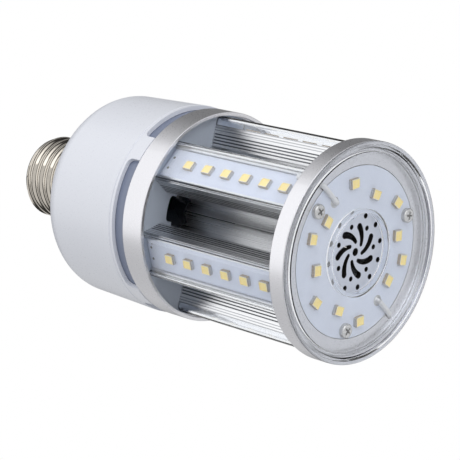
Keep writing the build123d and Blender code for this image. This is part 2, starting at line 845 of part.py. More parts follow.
# Four screws through the fan's corners into the seats of the rear plate
with BuildPart() as fan_screws:
    with BuildSketch(fan_plane(fan_back)):
        with GridLocations(fan_hole_distance, fan_hole_distance, 2, 2):
            Circle(fan_screw_head)
    extrude(amount=head_height)
    fillet(fan_screws.edges().group_by(Axis.Z)[-1], head_round)
    with BuildSketch(fan_plane(fan_back)):
        with GridLocations(fan_hole_distance, fan_hole_distance, 2, 2):
            Circle(screw_radius)
    extrude(amount=-fan_screw_length)
keep(fan_screws, "fan_screws")

# Driver board on the housing's ledge, with its large components
with BuildPart() as driver_board:
    with BuildSketch(Plane.XY.offset(ledge)):
        Circle(driver_radius)
        with PolarLocations(driver_screw_distance, 3):
            Circle(screw_hole, mode=Mode.SUBTRACT)
    extrude(amount=-driver_thickness)
keep(driver_board, "driver_board")

with BuildPart() as driver_screws:
    with BuildSketch(Plane.XY.offset(ledge - driver_thickness)):
        with PolarLocations(driver_screw_distance, 3):
            Circle(head_radius)
    extrude(amount=-head_height)
    fillet(driver_screws.edges().group_by(Axis.Z)[0], head_round)
    with BuildSketch(Plane.XY.offset(ledge - driver_thickness)):
        with PolarLocations(driver_screw_distance, 3):
            Circle(screw_radius)
    extrude(amount=driver_screw_length)
keep(driver_screws, "driver_screws")

with BuildPart() as driver_transformer:
    with Locations((*transformer_place, ledge)):
        Box(*transformer_size, align=(Align.CENTER, Align.CENTER, Align.MIN))
    chamfer(driver_transformer.edges().group_by(Axis.Z)[-1], transformer_edge)
keep(driver_transformer, "driver_transformer")

with BuildPart() as driver_capacitors:
    with BuildSketch(Plane.XY.offset(ledge)):
        with Locations(*capacitor_places):
            Circle(capacitor_radius)
    extrude(amount=capacitor_height)
    fillet(driver_capacitors.edges().group_by(Axis.Z)[-1], capacitor_round)
keep(driver_capacitors, "driver_capacitors")

with BuildPart() as driver_choke:
    with BuildSketch(Plane.XY.offset(ledge)):
        with Locations((choke_offset, driver_radius - choke_inset)):
            Circle(choke_radius)
            Circle(choke_bore, mode=Mode.SUBTRACT)
    extrude(amount=choke_height)
keep(driver_choke, "driver_choke")
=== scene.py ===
# %% [markdown]
# Corn LED bulb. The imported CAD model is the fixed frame: every piece here takes its place from it, in
# metres. The lamp stands on its front rim with its screw base up, so the photograph's camera looks at
# it from below.

import json
from math import cos, pi, radians, sin

import bmesh
import bpy
from mathutils import Matrix, Vector


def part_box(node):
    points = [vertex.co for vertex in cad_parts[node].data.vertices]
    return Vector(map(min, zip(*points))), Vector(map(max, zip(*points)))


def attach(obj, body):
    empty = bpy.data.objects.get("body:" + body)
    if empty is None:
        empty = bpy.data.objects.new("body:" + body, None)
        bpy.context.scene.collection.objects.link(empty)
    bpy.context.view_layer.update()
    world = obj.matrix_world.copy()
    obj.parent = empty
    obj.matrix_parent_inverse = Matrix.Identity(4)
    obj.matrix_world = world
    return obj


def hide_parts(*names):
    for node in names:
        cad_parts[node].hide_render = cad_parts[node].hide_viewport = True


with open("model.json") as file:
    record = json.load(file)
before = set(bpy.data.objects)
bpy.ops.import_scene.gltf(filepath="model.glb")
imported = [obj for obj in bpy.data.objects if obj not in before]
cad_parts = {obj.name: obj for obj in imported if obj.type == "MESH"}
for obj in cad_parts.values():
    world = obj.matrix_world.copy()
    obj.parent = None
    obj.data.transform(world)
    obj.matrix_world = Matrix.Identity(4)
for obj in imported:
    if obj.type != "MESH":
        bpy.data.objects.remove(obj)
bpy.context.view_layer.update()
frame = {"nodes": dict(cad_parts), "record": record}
scene = bpy.context.scene
MM = 0.001

# %% [markdown]
# The camera stands where a fit of the two silver rings' ellipses puts it: 43 degrees below the
# horizon, a little to one side of strip 1, with the picture rolled by about 75 degrees so that the
# lamp lies across it. A long lens keeps the front ring and the base at nearly the same scale, as in
# the photograph.

# %% Camera
aim = Vector((5.46, -5.82, 43.67)) * MM
camera_distance = 520.0 * MM
camera_azimuth = radians(-25.96)
camera_elevation = radians(-43.22)
camera_roll = radians(-75.36)
lens = 140.87

back = Vector(
    (
        cos(camera_elevation) * cos(camera_azimuth),
        cos(camera_elevation) * sin(camera_azimuth),
        sin(camera_elevation),
    )
)
level_right = Vector((0, 0, 1)).cross(back).normalized()
level_up = back.cross(level_right)
right = level_right * cos(camera_roll) + level_up * sin(camera_roll)
up = back.cross(right)
camera = bpy.data.objects.new("camera", bpy.data.cameras.new("camera"))
camera.data.lens = lens
camera.data.sensor_width = 36.0
camera.data.clip_start = 0.01
turned = Matrix((right, up, back)).transposed().to_4x4()
camera.matrix_world = Matrix.Translation(aim + back * camera_distance) @ turned
scene.collection.objects.link(camera)
scene.camera = camera
print("camera right", right[:], "up", up[:])

# %% [markdown]
# Colours are written as sRGB hex values, as a colour picker shows them, and one function turns them
# into the linear values that a shader works with. A second function adds a shader node with its
# settings and links.

# %% Colour and node helpers


def colour(text):
    """Linear colour, with alpha 1, of an sRGB hex value."""
    parts = [int(text[place : place + 2], 16) / 255 for place in (0, 2, 4)]
    return (*[part / 12.92 if part <= 0.04045 else ((part + 0.055) / 1.055) ** 2.4 for part in parts], 1.0)


def node(tree, kind, inputs=None, **settings):
    """Adds a node. Values in inputs are numbers, colours, or sockets to link from."""
    made = tree.nodes.new(kind)
    for name, value in settings.items():
        setattr(made, name, value)
    for name, value in (inputs or {}).items():
        if isinstance(value, bpy.types.NodeSocket):
            tree.links.new(value, made.inputs[name])
        else:
            made.inputs[name].default_value = value
    return made


def new_material(name, **values):
    """Material with one Principled shader. Its inputs are given by name, with _ for each space."""
    material = bpy.data.materials.new(name)
    material.use_nodes = True
    tree = material.node_tree
    tree.nodes.clear()
    shader = node(tree, "ShaderNodeBsdfPrincipled")
    for key, value in values.items():
        shader.inputs[key.replace("_", " ")].default_value = value
    node(tree, "ShaderNodeOutputMaterial", {"Surface": shader.outputs[0]})
    return material, tree, shader


# %% [markdown]
# Most finishes differ from a flat colour in the same three ways: the gloss varies from place to
# place, the surface has a fine relief, and the colour drifts a little. One function adds these from
# one noise, whose grain size is given in millimetres. Stretching the grain along the lamp's axis
# gives the lines that a die leaves.

# %% Surface detail


def grained(tree, size, stretch=(1.0, 1.0, 1.0), detail=3.0):
    """Noise in Object coordinates whose grains have the given size in mm, times stretch along each axis."""
    place = node(tree, "ShaderNodeTexCoord")
    scale = [1 / (size * MM * length) for length in stretch]
    space = node(tree, "ShaderNodeMapping", {"Vector": place.outputs["Object"], "Scale": scale})
    return node(tree, "ShaderNodeTexNoise", {"Vector": space.outputs[0], "Scale": 1.0, "Detail": detail})


def finish_surface(tree, shader, grain, gloss, relief, colours=None):
    """Lets one noise drive the roughness, a relief in mm, and a drift between two colours."""
    low, high = gloss
    spread = node(
        tree,
        "ShaderNodeMapRange",
        {"Value": grain.outputs[0], "From Min": 0.3, "From Max": 0.7, "To Min": low, "To Max": high},
    )
    tree.links.new(spread.outputs[0], shader.inputs["Roughness"])
    bump = node(tree, "ShaderNodeBump", {"Height": grain.outputs[0], "Distance": relief * MM})
    tree.links.new(bump.outputs[0], shader.inputs["Normal"])
    if colours:
        drift = node(
            tree,
            "ShaderNodeMix",
            {"Factor": grain.outputs[0], "A": colour(colours[0]), "B": colour(colours[1])},
            data_type="RGBA",
        )
        tree.links.new(drift.outputs["Result"], shader.inputs["Base Color"])


def other_colour(tree, shader, factor, text):
    """Turns the surface to another colour where the factor is 1."""
    own = shader.inputs["Base Color"].links[0].from_socket
    mixed = node(
        tree, "ShaderNodeMix", {"Factor": factor, "A": own, "B": colour(text)}, data_type="RGBA"
    )
    tree.links.new(mixed.outputs["Result"], shader.inputs["Base Color"])


# %% [markdown]
# The two silver rings are aluminium, blasted and anodised: a satin metal with a very fine even grain,
# so its reflections are soft bands without lines. The real grain of about 0.1 mm would not show at
# this size, so it is drawn at 0.35 mm.

# %% Satin anodised aluminium
satin, tree, shader = new_material("satin anodised aluminium", Metallic=1.0)
finish_surface(tree, shader, grained(tree, 0.35), (0.26, 0.36), 0.006, ("C4C4C8", "D6D6DA"))

# %% [markdown]
# The heat sinks are extruded aluminium as it leaves the die, so fine bright and dull lines run along
# it. Each line is a grain that is stretched 120 times along the lamp's axis. The grooves between the
# ribs are painted a dull dark grey: painted shade, as deep between the ribs the metal mostly reflects
# itself. Each strip's metal knows its own direction, so that the painted shade lies only deeper than
# the ribs' outer faces. Beside the rails the die draws four dull lines.

# %% Extruded aluminium
strip_count = 6
half_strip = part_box("heatsink_1")[1][1]
rail_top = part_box("heatsink_1")[1][0]
rib_end = 1.9 * MM  # from the rails' tops down to the end of the ribs
groove_start = 0.06 * MM  # depth below the ribs' outer faces
groove_end = 0.6 * MM
line_depth = 0.2 * MM
groove_zone = rail_top - rib_end
groove_middle = half_strip - (groove_start + groove_end) / 2
groove_reach = (groove_end - groove_start) / 2
line_spacing = 0.75 * MM  # of the dull lines that the die draws beside the rails
line_share = 0.35  # of the spacing that a line takes
extruded = []
for number in range(strip_count):
    metal, tree, shader = new_material(f"extruded aluminium {number + 1}", Metallic=1.0)
    lines = grained(tree, 0.3, (1.0, 1.0, 120.0))
    finish_surface(tree, shader, lines, (0.24, 0.38), 0.004, ("C6C7C9", "E2E3E5"))
    place = node(tree, "ShaderNodeTexCoord")
    level = node(
        tree,
        "ShaderNodeVectorRotate",
        {"Vector": place.outputs["Object"], "Angle": radians(-360 / strip_count * number)},
        rotation_type="Z_AXIS",
    )
    spot = node(tree, "ShaderNodeSeparateXYZ", {"Vector": level.outputs[0]})
    across = node(tree, "ShaderNodeMath", {0: spot.outputs["Y"]}, operation="ABSOLUTE")
    sunk = node(
        tree,
        "ShaderNodeMath",
        {0: across.outputs[0], 1: groove_middle, 2: groove_reach},
        operation="COMPARE",
    )
    ribbed = node(
        tree, "ShaderNodeMath", {0: spot.outputs["X"], 1: groove_zone}, operation="LESS_THAN"
    )
    groove_shade = node(
        tree, "ShaderNodeMath", {0: sunk.outputs[0], 1: ribbed.outputs[0]}, operation="MULTIPLY"
    )
    # Painted shade: the grooves between the ribs are drawn a dull dark grey.
    other_colour(tree, shader, groove_shade.outputs[0], "606266")
    counted = node(
        tree, "ShaderNodeMath", {0: spot.outputs["X"], 1: line_spacing}, operation="DIVIDE"
    )
    part = node(tree, "ShaderNodeMath", {0: counted.outputs[0]}, operation="FRACT")
    line = node(
        tree, "ShaderNodeMath", {0: part.outputs[0], 1: 0.5, 2: line_share / 2}, operation="COMPARE"
    )
    smooth_zone = node(tree, "ShaderNodeMath", {0: 1.0, 1: ribbed.outputs[0]}, operation="SUBTRACT")
    outside = node(
        tree,
        "ShaderNodeMath",
        {0: across.outputs[0], 1: half_strip - line_depth},
        operation="GREATER_THAN",
    )
    there = node(
        tree, "ShaderNodeMath", {0: smooth_zone.outputs[0], 1: outside.outputs[0]}, operation="MULTIPLY"
    )
    drawn = node(
        tree, "ShaderNodeMath", {0: line.outputs[0], 1: there.outputs[0]}, operation="MULTIPLY"
    )
    other_colour(tree, shader, drawn.outputs[0], "9A9CA0")
    extruded.append(metal)

# %% [markdown]
# The screw base is brass with nickel plating, smooth and a little warm, with faint wiping marks. The
# screws are zinc plated steel, and the contact and the solder are tin: grey, soft metals with a
# duller, uneven shine.

# %% Plated metals
nickel, tree, shader = new_material("nickel plated brass", Metallic=1.0)
wiped = grained(tree, 1.6, (1.0, 1.0, 0.25))
finish_surface(tree, shader, wiped, (0.04, 0.12), 0.004, ("A9A39B", "CBC5BB"))
steel, tree, shader = new_material("zinc plated steel", Metallic=1.0)
finish_surface(tree, shader, grained(tree, 0.5), (0.08, 0.2), 0.006, ("B4B2AE", "D0CECB"))
# Painted shade: the cross recess of each screw is drawn in a dark steel.
recess, tree, shader = new_material("dark steel in a recess, painted shade", Metallic=1.0)
finish_surface(tree, shader, grained(tree, 0.5), (0.2, 0.35), 0.006, ("4A4642", "5C5852"))
tin, tree, shader = new_material("soldered tin", Metallic=1.0)
finish_surface(tree, shader, grained(tree, 0.45), (0.25, 0.5), 0.02, ("A9A9AA", "CDCDCE"))

# %% [markdown]
# The driver housing, the vent collar and the rear plate are moulded polycarbonate, white with a cold
# tint. The mould was sparked, which leaves a fine even texture, and the surface keeps a soft gloss.
# The plate is drawn greyer than the housing: painted shade, for the shade it sits in behind the
# strips. Its sleeve, which the vent windows show, is painted darker still: painted shade behind the
# windows.

# %% Moulded polycarbonate
housing_white, tree, shader = new_material("moulded white polycarbonate", Specular_IOR_Level=0.45)
finish_surface(tree, shader, grained(tree, 0.4), (0.26, 0.36), 0.005, ("E6E9F2", "ECEFF7"))
# Painted shade: the plate's grey stands for the shade that it sits in.
plate_grey, tree, shader = new_material("moulded polycarbonate with painted shade")
finish_surface(tree, shader, grained(tree, 0.4), (0.34, 0.46), 0.006, ("B4BDCC", "BEC7D5"))
sleeve_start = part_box("rear_plate")[0][2] + 3.0 * MM
place = node(tree, "ShaderNodeTexCoord")
height = node(tree, "ShaderNodeSeparateXYZ", {"Vector": place.outputs["Object"]})
sleeve = node(
    tree, "ShaderNodeMath", {0: height.outputs["Z"], 1: sleeve_start}, operation="GREATER_THAN"
)
# Painted shade: the sleeve behind the vent windows is drawn a darker blue-grey.
other_colour(tree, shader, sleeve.outputs[0], "8089A0")

# %% [markdown]
# The covers are clear polycarbonate, polished in the mould: it bends light by its index of 1.58 and
# keeps only a few soft scuffs. Light has to reach the boards behind it, so for shadow rays it is
# almost fully transparent.

# %% Clear polycarbonate
clear, tree, shader = new_material(
    "clear polycarbonate", Base_Color=colour("F6F8FB"), IOR=1.58, Transmission_Weight=1.0
)
finish_surface(tree, shader, grained(tree, 2.5), (0.0, 0.05), 0.002)
light = node(tree, "ShaderNodeLightPath")
cast = node(
    tree,
    "ShaderNodeMath",
    {0: light.outputs["Is Shadow Ray"], 1: -0.9, 2: 1.0},
    operation="MULTIPLY_ADD",
)
tree.links.new(cast.outputs[0], shader.inputs["Alpha"])

# %% [markdown]
# The boards are covered in pale blue-white solder mask over copper. The mask is smooth with a slight
# orange peel. The driver's own board has the usual green mask.

# %% Solder mask
mask, tree, shader = new_material("pale solder mask")
finish_surface(tree, shader, grained(tree, 1.4), (0.3, 0.4), 0.01, ("CCD4E6", "D3DAEA"))
green_mask, tree, shader = new_material("green solder mask")
finish_surface(tree, shader, grained(tree, 0.8), (0.3, 0.45), 0.01, ("17502C", "1F6338"))

# %% [markdown]
# The grille's slots and holes are cut through the front board. Everything deeper than a twentieth of a
# millimetre below the board's face, which is the walls of the holes and slots and the board's rim, is
# painted near black: painted shade inside the holes and along the rim.

# %% Perforated board
painted_shade_depth = 0.05
board_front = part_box("front_board")[0][2] / MM
perforated, tree, shader = new_material("pale mask with painted shade in its holes")
finish_surface(tree, shader, grained(tree, 1.4), (0.3, 0.4), 0.01, ("D0D7E7", "D8DEEB"))
place = node(tree, "ShaderNodeTexCoord")
depth = node(tree, "ShaderNodeSeparateXYZ", {"Vector": place.outputs["Object"]})
deeper = node(
    tree,
    "ShaderNodeMath",
    {0: depth.outputs["Z"], 1: (board_front + painted_shade_depth) * MM},
    operation="GREATER_THAN",
)
# Painted shade: the walls of the holes and slots and the board's rim are drawn near black.
other_colour(tree, shader, deeper.outputs[0], "211E1C")

# %% [markdown]
# An LED package is a white moulded cup with tinned copper ends, filled with clear silicone that holds
# a yellow phosphor powder. The powder gives the fill its grainy, matt look.

# %% LED package
cup, tree, shader = new_material("white moulded polyamide")
finish_surface(tree, shader, grained(tree, 0.3), (0.35, 0.5), 0.006, ("DCD6CC", "E8E3DA"))
# Painted shade: the cup's sides are drawn brown-grey, for the shade that falls on the white cup's sides.
cup_side_shade, tree, shader = new_material("side of a moulded cup in painted shade")
finish_surface(tree, shader, grained(tree, 0.3), (0.35, 0.5), 0.006, ("8E7F6C", "A3947F"))
phosphor, tree, shader = new_material("yellow phosphor in silicone", Coat_Weight=0.3, Coat_Roughness=0.2)
finish_surface(tree, shader, grained(tree, 0.12), (0.4, 0.6), 0.01, ("FFE27A", "FFEC9A"))

# %% [markdown]
# Inside are darker plastics and metals: the black fan and insulator with a fine mould texture, the
# silicone jacket of the leads, the copper winding with its lines, and the bearing of porous bronze.

# %% Inner materials
black, tree, shader = new_material("moulded black polyester")
finish_surface(tree, shader, grained(tree, 0.35), (0.12, 0.28), 0.008, ("262A31", "30353D"))
ceramic, tree, shader = new_material("black vitrified insulator")
finish_surface(tree, shader, grained(tree, 0.9), (0.1, 0.25), 0.01, ("101013", "1C1B1E"))
jacket, tree, shader = new_material("white silicone insulation", Sheen_Weight=0.2)
finish_surface(tree, shader, grained(tree, 0.5), (0.4, 0.55), 0.01, ("D2D2D4", "E2E2E3"))
ferrite, tree, shader = new_material("dark varnished component")
finish_surface(tree, shader, grained(tree, 0.6), (0.3, 0.5), 0.01, ("23262B", "32363C"))
copper, tree, shader = new_material("enamelled copper wire", Metallic=1.0)
finish_surface(tree, shader, grained(tree, 0.3, (1.0, 1.0, 0.3)), (0.2, 0.35), 0.03, ("9C4F22", "C06F38"))
bronze, tree, shader = new_material("sintered bronze", Metallic=1.0)
finish_surface(tree, shader, grained(tree, 0.15), (0.35, 0.6), 0.02, ("86683A", "A88650"))

# %% [markdown]
# Every node of the frame gets the finish of its material slot. The nodes that a more detailed piece
# replaces below are hidden later.

# %% Finishes of the frame's nodes
finishes = {
    "silver": satin,
    "clear": clear,
    "light_board": mask,
    "led": cup,
    "steel": steel,
    "lead": jacket,
    "plate": plate_grey,
    "housing": housing_white,
    "nickel": nickel,
    "insulator": ceramic,
    "contact": tin,
    "fan": black,
    "bronze": bronze,
    "driver_board": green_mask,
    "component": ferrite,
    "copper": copper,
}
slot_of = {piece["node"]: piece["material_slot"] for piece in frame["record"]["subparts"]}
special = {f"heatsink_{number + 1}": metal for number, metal in enumerate(extruded)}
special["front_board"] = perforated
for name, thing in frame["nodes"].items():
    thing.data.materials.clear()
    thing.data.materials.append(special.get(name) or finishes[slot_of[name]])
print(len(slot_of), "nodes have a finish")

# %% [markdown]
# New pieces start as a bmesh in millimetres. One function closes such a bmesh into an object: it
# merges doubles, turns the faces outwards, scales to metres, parents the piece to the empty of the
# body that it rides on and hides the CAD nodes that it stands for. Another copies a finished shape to
# many places, as for screws and LEDs.

# %% Helpers for pieces


def finish_piece(name, shape, materials, replaced=(), smooth=40.0, body="lamp"):
    """Object of a bmesh in mm, with smooth shading up to an angle in degrees."""
    bmesh.ops.remove_doubles(shape, verts=shape.verts, dist=0.0005)
    bmesh.ops.recalc_face_normals(shape, faces=shape.faces)
    bmesh.ops.scale(shape, vec=(MM, MM, MM), verts=shape.verts)
    mesh = bpy.data.meshes.new(name)
    shape.to_mesh(mesh)
    shape.free()
    mesh.shade_smooth()
    mesh.set_sharp_from_angle(angle=radians(smooth))
    for material in materials:
        mesh.materials.append(material)
    piece = bpy.data.objects.new(name, mesh)
    scene.collection.objects.link(piece)
    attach(piece, body)
    if replaced:
        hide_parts(*replaced)
    print(name, len(mesh.polygons), "faces")
    return piece


def copies(shape, places):
    """A new bmesh that holds the shape once for each matrix in places. Frees the shape."""
    pattern = bpy.data.meshes.new("pattern")
    bmesh.ops.recalc_face_normals(shape, faces=shape.faces)
    shape.to_mesh(pattern)
    shape.free()
    result = bmesh.new()
    for place in places:
        placed = pattern.copy()
        placed.transform(place)
        result.from_mesh(placed)
        bpy.data.meshes.remove(placed)
    bpy.data.meshes.remove(pattern)
    return result


def chain(shape, points):
    """Vertices and edges along points given as radius and height."""
    corners = [shape.verts.new((radius, 0, height)) for radius, height in points]
    return corners + [shape.edges.new(pair) for pair in zip(corners, corners[1:])]


def box_mm(name):
    """Lowest and highest corner of a CAD node in mm."""
    low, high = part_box(name)
    return Vector(low) / MM, Vector(high) / MM


def solids_of(name):
    """Lowest and highest corner in mm of each separate solid in a CAD node."""
    shape = bmesh.new()
    shape.from_mesh(frame["nodes"][name].data)
    bmesh.ops.remove_doubles(shape, verts=shape.verts, dist=1e-6)
    left = set(shape.verts)
    boxes = []
    while left:
        group, edge_of_group = set(), {left.pop()}
        while edge_of_group:
            group |= edge_of_group
            edge_of_group = {
                edge.other_vert(corner) for corner in edge_of_group for edge in corner.link_edges
            } - group
        left -= group
        spots = [corner.co / MM for corner in group]
        corners = [[pick(spot[axis] for spot in spots) for axis in range(3)] for pick in (min, max)]
        boxes.append([Vector(corner) for corner in corners])
    shape.free()
    return sorted(boxes, key=lambda corners: [round(value, 2) for value in corners[0]])


# %% [markdown]
# An LED package is a small moulded cup. It could be a plain box, but its chamfered corner, the slope
# from its rim down to the phosphor and its two tinned ends are what the eye reads as an LED. A cube
# gets one corner bevelled, its top is inset and sunk for the cup, and the fill is pushed up in the
# middle. Two more cubes make the ends.

# %% One LED package, long side along Y, on the board at z = 0
led_long = 3.5
led_short = 2.8
led_height = 1.1
led_rim = 0.25
led_sink = 0.16
led_corner = 0.45
led_edge = 0.08
tin_share = 0.85  # of the package's width
tin_reach = 0.16  # the ends stand out this far from the cup
tin_height = 0.8


def led_package():
    """Cup with its fill (second material), tinned ends (third) and sides in painted shade (fourth)."""
    shape = bmesh.new()
    cube = bmesh.ops.create_cube(shape, size=1.0)
    bmesh.ops.scale(shape, vec=(led_short, led_long - 2 * tin_reach, led_height), verts=cube["verts"])
    bmesh.ops.translate(shape, vec=(0, 0, led_height / 2), verts=cube["verts"])
    # The upright faces take the fourth material: painted shade on the cup's sides.
    for face in shape.faces:
        face.normal_update()
        face.material_index = 3 if abs(face.normal.z) < 0.5 else 0
    upright = [
        edge for edge in shape.edges if abs(edge.verts[0].co.z - edge.verts[1].co.z) > led_height / 2
    ]
    marked = max(upright, key=lambda edge: edge.verts[0].co.x + edge.verts[0].co.y)
    bmesh.ops.bevel(
        shape, geom=[marked], offset=led_corner, affect="EDGES", segments=1, profile=0.5, material=-1
    )
    top = max(shape.faces, key=lambda face: face.calc_center_median().z)
    bmesh.ops.bevel(
        shape, geom=list(top.edges), offset=led_edge, affect="EDGES", segments=2, profile=0.5, material=-1
    )
    top = max(shape.faces, key=lambda face: (round(face.calc_center_median().z, 4), face.calc_area()))
    bmesh.ops.inset_region(shape, faces=[top], thickness=led_rim - led_edge)
    slope = bmesh.ops.inset_region(shape, faces=[top], thickness=led_sink / 2, depth=-led_sink)
    fill = bmesh.ops.poke(shape, faces=[top], offset=led_sink / 3)
    for face in slope["faces"] + fill["faces"]:
        face.material_index = 1
    for side in (1, -1):
        end = bmesh.ops.create_cube(shape, size=1.0)
        bmesh.ops.scale(shape, vec=(led_short * tin_share, 2 * tin_reach, tin_height), verts=end["verts"])
        bmesh.ops.translate(
            shape, vec=(0, side * (led_long / 2 - tin_reach), tin_height / 2), verts=end["verts"]
        )
        for corner in end["verts"]:
            for face in corner.link_faces:
                face.material_index = 2
    return shape


# %% [markdown]
# The strips carry six packages each. Their long sides follow the lamp's axis.

# %% LEDs of the strips
leds_per_strip = 6
led_materials = (cup, phosphor, tin, cup_side_shade)
led_spacing = 7.48


def strip_frame(number):
    """Outward direction, height of the board's face in mm, and upright matrix of one strip."""
    turn = radians(360 / strip_count * number)
    outwards = Vector((cos(turn), sin(turn), 0))
    lengthwise = Vector((0, 0, 1))
    board = frame["nodes"][f"strip_board_{number + 1}"].data.vertices
    face = max(outwards.dot(corner.co) for corner in board) / MM
    upright = Matrix((lengthwise.cross(outwards), lengthwise, outwards)).transposed().to_4x4()
    return outwards, face, upright


for number in range(strip_count):
    name = f"strip_leds_{number + 1}"
    first = box_mm(name)[0].z + led_long / 2
    outwards, face, upright = strip_frame(number)
    places = [
        Matrix.Translation(outwards * face + Vector((0, 0, first + led_spacing * step))) @ upright
        for step in range(leds_per_strip)
    ]
    row = copies(led_package(), places)
    finish_piece(f"led_row_{number + 1}", row, led_materials, [name], smooth=30.0)

# %% [markdown]
# On the front board the packages stand in two rings, each turned a little differently, as a machine
# placed them.

# %% LEDs of the front board
led_rings = (
    (20.0, (37.9, 98.5, 150.3, 220.4, 280.7, 334.9), (40, 85, 146, 220, 265, 326)),
    (16.9, (68.0, 127.5, 172.6, 250.4, 307.5, 354.5), (67, 135, 168, 247, 315, 348)),
)
places = [
    Matrix.Translation((distance * cos(radians(angle)), distance * sin(radians(angle)), board_front))
    @ Matrix.Rotation(radians(turn), 4, "Z")
    @ Matrix.Rotation(pi, 4, "Y")
    for distance, angles, turns in led_rings
    for angle, turn in zip(angles, turns)
]
front_set = copies(led_package(), places)
finish_piece("front_led_set", front_set, led_materials, ["front_leds"], smooth=30.0)

# %% [markdown]
# The front cover is a disc with a stepped rim and a collar round the grille, turned from one section.
# The section is spun, and its ring edges are bevelled, because clear plastic is mostly seen by the
# highlights along its edges. It stops a hair short of the pieces it rests on: two faces in the same
# place would turn the clear plastic black.

# %% Front cover
rest_gap = 0.04
rim_overhang = 1.0  # of the rim past the skirt
skirt_wall = 2.15
rim_width = 1.75
groove_width = 1.2
groove_slope = 0.3
window_slope = 0.07
collar_wall = 1.15
edge_round = 0.09
cover_high = box_mm("front_cover")[1]
ring_low = box_mm("front_cap")[0].z
rim_radius = cover_high.x
skirt_radius = rim_radius - rim_overhang
skirt_inner = skirt_radius - skirt_wall
rim_inner = rim_radius - rim_width
groove_inner = rim_inner - groove_width
groove_depth = 0.6
collar_radius = 11.35
collar_outer = collar_radius + collar_wall
window_front = 0.2
window_back = 1.0
skirt_end = cover_high.z - rest_gap
cover_section = (
    (collar_radius, window_front),
    (skirt_inner + window_slope, window_front),
    (groove_inner, groove_depth),
    (rim_inner - groove_slope, groove_depth),
    (rim_inner, 0.0),
    (rim_radius, 0.0),
    (rim_radius, ring_low - rest_gap),
    (skirt_radius, ring_low - rest_gap),
    (skirt_radius, skirt_end),
    (skirt_inner, skirt_end),
    (skirt_inner, window_back),
    (collar_outer, window_back),
    (collar_outer, skirt_end),
    (collar_radius, skirt_end),
    (collar_radius, window_front),
)
cover = bmesh.new()
bmesh.ops.spin(
    cover,
    geom=chain(cover, cover_section),
    axis=(0, 0, 1),
    cent=(0, 0, 0),
    angle=2 * pi,
    steps=160,
    use_merge=True,
)
bmesh.ops.remove_doubles(cover, verts=cover.verts, dist=0.001)
bmesh.ops.recalc_face_normals(cover, faces=cover.faces)
level_edges = [edge for edge in cover.edges if abs(edge.verts[0].co.z - edge.verts[1].co.z) < 0.001]
ring_edges = [edge for edge in level_edges if edge.calc_face_angle(0) > radians(20)]
bmesh.ops.bevel(
    cover,
    geom=ring_edges,
    offset=edge_round,
    affect="EDGES",
    segments=3,
    profile=0.5,
    material=-1,
    clamp_overlap=True,
)
finish_piece("clear_front_cover", cover, [clear], ["front_cover"], smooth=60.0)

# %% [markdown]
# Each strip is closed by a clear extruded channel. Its section starts as one flat face with sharp
# corners, the corners are rounded by a bevel of single vertices, and the face is extruded along the
# strip.

# %% Strip covers
cover_height = 2.8
cover_wall = 0.9
cover_round = 1.8
lip_outer = 6.15
lip_inner = 5.55
first_low, first_high = box_mm("strip_cover_1")
top = first_high.x
half = first_high.y
foot = top - cover_height + rest_gap
lip_end = first_low.x + rest_gap
side = [
    (top, half),
    (foot, half),
    (foot, lip_outer),
    (lip_end, lip_outer),
    (lip_end, lip_inner),
    (foot, lip_inner),
    (foot, half - cover_wall),
    (top - cover_wall, half - cover_wall),
]
outline = side + [(reach, -across) for reach, across in reversed(side)]
for number in range(strip_count):
    name = f"strip_cover_{number + 1}"
    cover = bmesh.new()
    corners = [cover.verts.new((reach, across, first_low.z)) for reach, across in outline]
    cover.faces.new(corners)
    for reach, radius in ((top, cover_round), (top - cover_wall, cover_round - cover_wall)):
        bmesh.ops.bevel(
            cover,
            geom=[corner for corner in cover.verts if abs(corner.co.x - reach) < 0.001],
            offset=radius,
            affect="VERTICES",
            segments=8,
            profile=0.5,
            material=-1,
        )
    grown = bmesh.ops.extrude_face_region(cover, geom=list(cover.faces))
    bmesh.ops.translate(
        cover,
        vec=(0, 0, first_high.z - first_low.z),
        verts=[item for item in grown["geom"] if isinstance(item, bmesh.types.BMVert)],
    )
    turn = Matrix.Rotation(radians(360 / strip_count * number), 3, "Z")
    bmesh.ops.rotate(cover, cent=(0, 0, 0), matrix=turn, verts=cover.verts)
    finish_piece(f"clear_channel_{number + 1}", cover, [clear], [name], smooth=30.0)

# %% [markdown]
# All the screws are pan heads with a cross recess. The head is a disc that is extruded and rounded.
# The recess needs no boolean: planes cut the flat top along the outline of a cross, and the faces
# inside it are extruded down and drawn together, as the driver's tip tapers. The thread is one ridge,
# turned round the shank as a spin that climbs.

# %% One pan head screw, head up, under the head z = 0
head_radius = 2.1
head_height = 1.4
head_round = 0.55
shank_radius = 0.78
core_radius = 0.56
screw_pitch = 0.7
cross_width = 0.55
cross_reach = 1.2
cross_depth = 0.8
cross_taper = 0.6


def climbing_spin(shape, profile, turns, pitch, steps):
    """Spins a chain of edges round Z while it climbs by one pitch each turn."""
    return bmesh.ops.spin(
        shape,
        geom=profile,
        axis=(0, 0, 1),
        cent=(0, 0, 0),
        angle=2 * pi * turns,
        dvec=(0, 0, pitch / steps),
        steps=turns * steps,
        use_merge=False,
    )


def cut_level(shape, height, keep_above):
    """Cuts everything off at a height and drops one side."""
    bmesh.ops.bisect_plane(
        shape,
        geom=list(shape.verts) + list(shape.edges) + list(shape.faces),
        dist=1e-5,
        plane_co=(0, 0, height),
        plane_no=(0, 0, 1),
        clear_inner=keep_above,
        clear_outer=not keep_above,
    )


